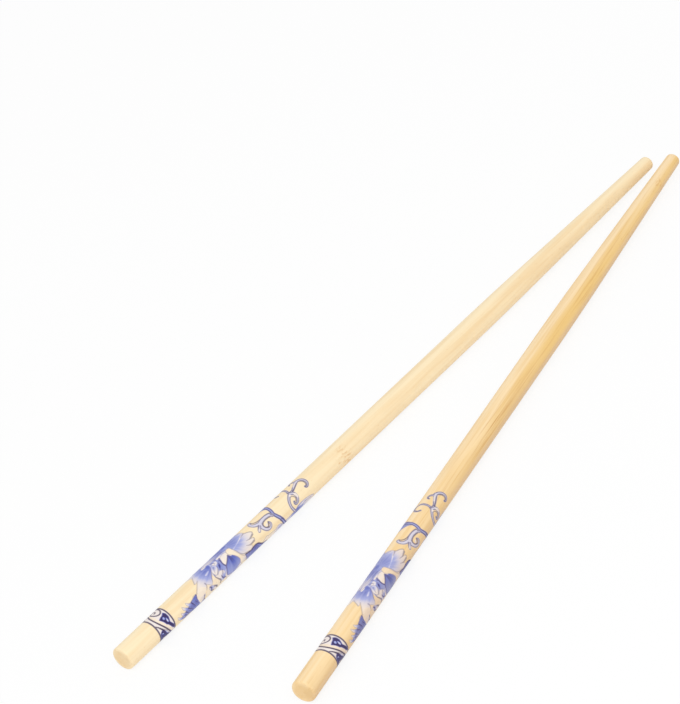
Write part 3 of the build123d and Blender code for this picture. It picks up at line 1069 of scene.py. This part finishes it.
    # The wood, one tone over another
    tone = add(tree, "ShaderNodeMapRange", {"Value": streaks, "From Min": 0.42, "From Max": 0.68}).outputs[0]
    cut = add(tree, "ShaderNodeMath", {0: cut, 1: core}, operation="MULTIPLY").outputs[0]
    wood = opaque(light)
    # The lower side's layer paints shade there as well as duller wood
    for cover, layer in (
        (tone, dark), (dull_wood_and_shade, bamboo.dull_wood_and_shade), (golden, bamboo.skin), (fine, bamboo.fibre),
        (mark, bamboo.scar), (cut, bamboo.end_grain),
    ):
        wood = add(tree, "ShaderNodeMix", {0: cover, 6: wood, 7: opaque(layer)}, data_type="RGBA").outputs[2]

    # Ink: pale ground, then blue washes, both greyer under the lower side's painted shade, then outlines
    pale, blue, line = (
        add(tree, "ShaderNodeAttribute", attribute_name=f"{layer}_ink").outputs["Fac"]
        for layer in ("pale", "blue", "line")
    )
    pale_cover = add(tree, "ShaderNodeMath", {0: pale, 1: inks.pale_cover}, operation="MULTIPLY").outputs[0]
    blue_cover = add(
        tree, "ShaderNodeMapRange", {"Value": blue, "From Max": 0.3, "To Max": ink_cover}
    ).outputs[0]
    navy_cover = add(
        tree, "ShaderNodeMapRange",
        {"Value": blue, "From Min": 0.6, "From Max": 0.9, "To Max": inks.navy_cover},
    ).outputs[0]
    blue_cover = add(tree, "ShaderNodeMath", {0: blue_cover, 1: navy_cover}, operation="MAXIMUM").outputs[0]
    ramp = add(tree, "ShaderNodeValToRGB", {"Fac": blue})
    stops = ramp.color_ramp.elements
    stops[0].color = opaque(inks.light_blue)
    stops[1].color = opaque(inks.navy)
    full_wash = 0.72  # how much ink gives the deep blue
    stops.new(full_wash).color = opaque(inks.deep_blue)
    inked = add(tree, "ShaderNodeMath", {0: pale_cover, 1: blue_cover}, operation="MAXIMUM").outputs[0]
    # The lower side's painted shade, laid over the inks
    inked = add(tree, "ShaderNodeMath", {0: inked, 1: dull_wood_and_shade}, operation="MULTIPLY").outputs[0]
    # Outlines are greyer where they cross bare cream, and darker where they are heavy
    thin = add(
        tree, "ShaderNodeMix", {0: blue_cover, 6: opaque(inks.bare_line_ink), 7: opaque(inks.line_ink)},
        data_type="RGBA",
    ).outputs[2]
    density = add(tree, "ShaderNodeMapRange", {"Value": line, "From Min": 0.6, "From Max": 0.95}).outputs[0]
    outline = add(
        tree, "ShaderNodeMix", {0: density, 6: thin, 7: opaque(inks.dense_line_ink)}, data_type="RGBA"
    ).outputs[2]
    printed = wood
    for cover, ink, blend in (
        (pale_cover, opaque(inks.pale_ink), "MIX"),
        (blue_cover, ramp.outputs[0], "MIX"),
        (inked, opaque(inks.shade_dulled_ink), "MULTIPLY"),
        (line, outline, "MIX"),
    ):
        printed = add(
            tree, "ShaderNodeMix", {0: cover, 6: printed, 7: ink}, data_type="RGBA", blend_type=blend
        ).outputs[2]

    roughness = add(tree, "ShaderNodeMapRange", {"Value": fibres, "To Min": 0.38, "To Max": 0.56}).outputs[0]
    bump = add(tree, "ShaderNodeBump", {"Height": fibres, "Strength": 0.12, "Distance": 0.1 * MM}).outputs[0]
    shader = add(
        tree, "ShaderNodeBsdfPrincipled",
        {
            "Base Color": printed, "Roughness": roughness, "Normal": bump, "IOR": 1.48,
            "Specular IOR Level": 0.25,
        },
    )
    add(tree, "ShaderNodeOutputMaterial", {0: shader.outputs[0]})
    return material


class OBJECT_OT_turn_chopsticks(bpy.types.Operator):
    """Turns both sticks, prints them and gives them their bamboo"""

    bl_idname = "object.turn_chopsticks"
    bl_label = "Turn chopsticks"

    def execute(self, context):
        scene = context.scene
        sizes, colours, inks = scene.stick_sizes, scene.bamboo_colours, scene.print_colours
        lean, left_butt, right_butt = pair_layout(sizes)
        for name, side, butt, slot, *tones in (
            (
                "left", -1, left_butt, "pale_bamboo", colours.pale_light, colours.pale_dark,
                colours.left_skin, colours.left_scar, colours.left_open, colours.left_grain,
                inks.left_cover,
            ),
            (
                "right", 1, right_butt, "warm_bamboo", colours.warm_light, colours.warm_dark,
                colours.right_skin, colours.right_scar, colours.right_open, colours.right_grain,
                inks.right_cover,
            ),
        ):
            bm = bmesh.new()
            stick_outline(bm, sizes)
            bmesh.ops.spin(
                bm, geom=bm.verts[:] + bm.edges[:], axis=(0, 1, 0), cent=(0, 0, 0), dvec=(0, 0, 0),
                angle=2 * math.pi, steps=sizes.sides, use_merge=True, use_duplicate=False,
            )
            bmesh.ops.remove_doubles(bm, verts=bm.verts, dist=MM / 1000)
            bmesh.ops.recalc_face_normals(bm, faces=bm.faces)
            unwrap_strips(bm, sizes)
            for face in bm.faces:
                face.smooth = True
            mesh = bpy.data.meshes.new(f"{name}_chopstick")
            bm.to_mesh(mesh)
            bm.free()

            places = np.zeros(len(mesh.vertices) * 3)
            mesh.vertices.foreach_get("co", places)
            places = places.reshape(-1, 3)
            along = places[:, 1] / MM
            turn = np.degrees(np.arctan2(-places[:, 0], places[:, 2]))
            if side > 0:
                # The right stick's print went on a little later, skewed and stretched
                middle = inks.middle / MM
                along = middle + (along - middle - inks.shift / MM) / (1 + inks.stretch)
                turn = turn - math.degrees(inks.turn) - inks.skew * (along - middle)
            plate = PrintPlate(along, turn, sizes.butt_diameter / 2 / MM)
            print_leaves(plate)
            print_flower(plate)
            print_vines(plate)
            print_band(plate)
            for layer in ("pale", "blue", "line"):
                attribute = mesh.attributes.new(f"{layer}_ink", "FLOAT", "POINT")
                attribute.data.foreach_set("value", getattr(plate, layer).astype(np.float32))

            mesh.transform(Matrix.Translation(butt) @ Matrix.Rotation(side * lean, 4, "Z"))
            stick = bpy.data.objects.new(f"{name}_chopstick", mesh)
            scene.collection.objects.link(stick)
            mesh.materials.append(
                turned_bamboo(f"{slot}_turned_lacquered", *tones, butt, side * lean, scene)
            )
            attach(stick, "root")
            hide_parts(f"chopstick_{name}")
        return {"FINISHED"}


def seen_directly(tree):
    """1 for rays from the camera, from a mirror or through glass, and 0 for all others."""
    path = add(tree, "ShaderNodeLightPath")
    seen = path.outputs["Is Camera Ray"]
    for ray in ("Is Glossy Ray", "Is Transmission Ray"):
        seen = add(
            tree, "ShaderNodeMath", {0: seen, 1: path.outputs[ray]}, operation="ADD", use_clamp=True
        ).outputs[0]
    return seen


class OBJECT_OT_set_studio(bpy.types.Operator):
    """Lays the pale floor and sets the light and the camera"""

    bl_idname = "object.set_studio"
    bl_label = "Set studio"

    def execute(self, context):
        scene = context.scene
        studio = scene.studio_setup
        aim = Vector(studio.aim)
        white = (1, 1, 1, 1)

        # Floor
        bm = bmesh.new()
        bmesh.ops.create_grid(bm, x_segments=1, y_segments=1, size=studio.floor_size / 2)
        mesh = bpy.data.meshes.new("studio_floor")
        bm.to_mesh(mesh)
        bm.free()
        floor = bpy.data.objects.new("studio_floor", mesh)
        scene.collection.objects.link(floor)
        material = bpy.data.materials.new("matt_white_paper")
        material.use_nodes = True
        tree = material.node_tree
        tree.nodes.clear()
        matt = add(tree, "ShaderNodeBsdfDiffuse", {"Color": opaque(studio.floor_colour)})
        glow = add(tree, "ShaderNodeEmission", {"Color": white, "Strength": 1.0})
        part = add(
            tree, "ShaderNodeMath", {0: seen_directly(tree), 1: studio.floor_glow}, operation="MULTIPLY"
        )
        both = add(
            tree, "ShaderNodeMixShader", {"Fac": part.outputs[0], 1: matt.outputs[0], 2: glow.outputs[0]}
        )
        add(tree, "ShaderNodeOutputMaterial", {0: both.outputs[0]})
        mesh.materials.append(material)

        # Even light from all round, white behind the object
        world = bpy.data.worlds.new("studio_world")
        scene.world = world
        world.use_nodes = True
        tree = world.node_tree
        tree.nodes.clear()
        level = add(
            tree, "ShaderNodeMapRange", {"Value": seen_directly(tree), "To Min": studio.fill, "To Max": 1.0}
        )
        ground = add(tree, "ShaderNodeBackground", {"Color": white, "Strength": level.outputs[0]})
        add(tree, "ShaderNodeOutputWorld", {0: ground.outputs[0]})

        # Camera
        data = bpy.data.cameras.new("studio_camera")
        data.sensor_fit = "HORIZONTAL"
        data.sensor_width = studio.sensor
        data.lens = studio.lens
        camera = bpy.data.objects.new("studio_camera", data)
        scene.collection.objects.link(camera)
        out = Vector((
            math.cos(studio.elevation) * math.cos(studio.azimuth),
            math.cos(studio.elevation) * math.sin(studio.azimuth),
            math.sin(studio.elevation),
        ))
        facing = (-out).to_track_quat("-Z", "Y").to_matrix().to_4x4()
        place = Matrix.Translation(aim + out * studio.distance)
        camera.matrix_world = place @ facing @ Matrix.Rotation(studio.roll, 4, "Z")
        scene.camera = camera

        # Large soft key lamp from the picture's upper left
        lamp = bpy.data.lights.new("key_lamp", "AREA")
        lamp.shape = "SQUARE"
        lamp.size = studio.key_size
        lamp.energy = studio.key_power
        key = bpy.data.objects.new("key_lamp", lamp)
        scene.collection.objects.link(key)
        towards = Vector(studio.key_way).normalized()
        facing = (-towards).to_track_quat("-Z", "Y").to_matrix().to_4x4()
        key.matrix_world = Matrix.Translation(aim + towards * studio.key_distance) @ facing

        scene.view_settings.view_transform = "Standard"
        return {"FINISHED"}


class VIEW3D_PT_chopsticks(bpy.types.Panel):
    """Lists the steps that make the chopsticks"""

    bl_idname = "VIEW3D_PT_chopsticks"
    bl_label = "Chopsticks"
    bl_space_type = "VIEW_3D"
    bl_region_type = "UI"
    bl_category = "Chopsticks"

    def draw(self, context):
        layout = self.layout
        layout.operator(OBJECT_OT_turn_chopsticks.bl_idname)
        layout.operator(OBJECT_OT_set_studio.bl_idname)
        for group in ("stick_sizes", "bamboo_colours", "print_colours", "studio_setup"):
            settings = getattr(context.scene, group)
            box = layout.box()
            for name in settings.__annotations__:
                box.prop(settings, name)


CLASSES = (
    StickSizes, BambooColours, PrintColours, StudioSetup,
    OBJECT_OT_turn_chopsticks, OBJECT_OT_set_studio, VIEW3D_PT_chopsticks,
)


def register():
    for made in CLASSES:
        bpy.utils.register_class(made)
    bpy.types.Scene.stick_sizes = PointerProperty(type=StickSizes)
    bpy.types.Scene.bamboo_colours = PointerProperty(type=BambooColours)
    bpy.types.Scene.print_colours = PointerProperty(type=PrintColours)
    bpy.types.Scene.studio_setup = PointerProperty(type=StudioSetup)


def unregister():
    for name in ("studio_setup", "print_colours", "bamboo_colours", "stick_sizes"):
        delattr(bpy.types.Scene, name)
    for made in reversed(CLASSES):
        bpy.utils.unregister_class(made)


def main():
    register()
    bpy.ops.object.turn_chopsticks()
    bpy.ops.object.set_studio()


if __name__ == "__main__":
    main()
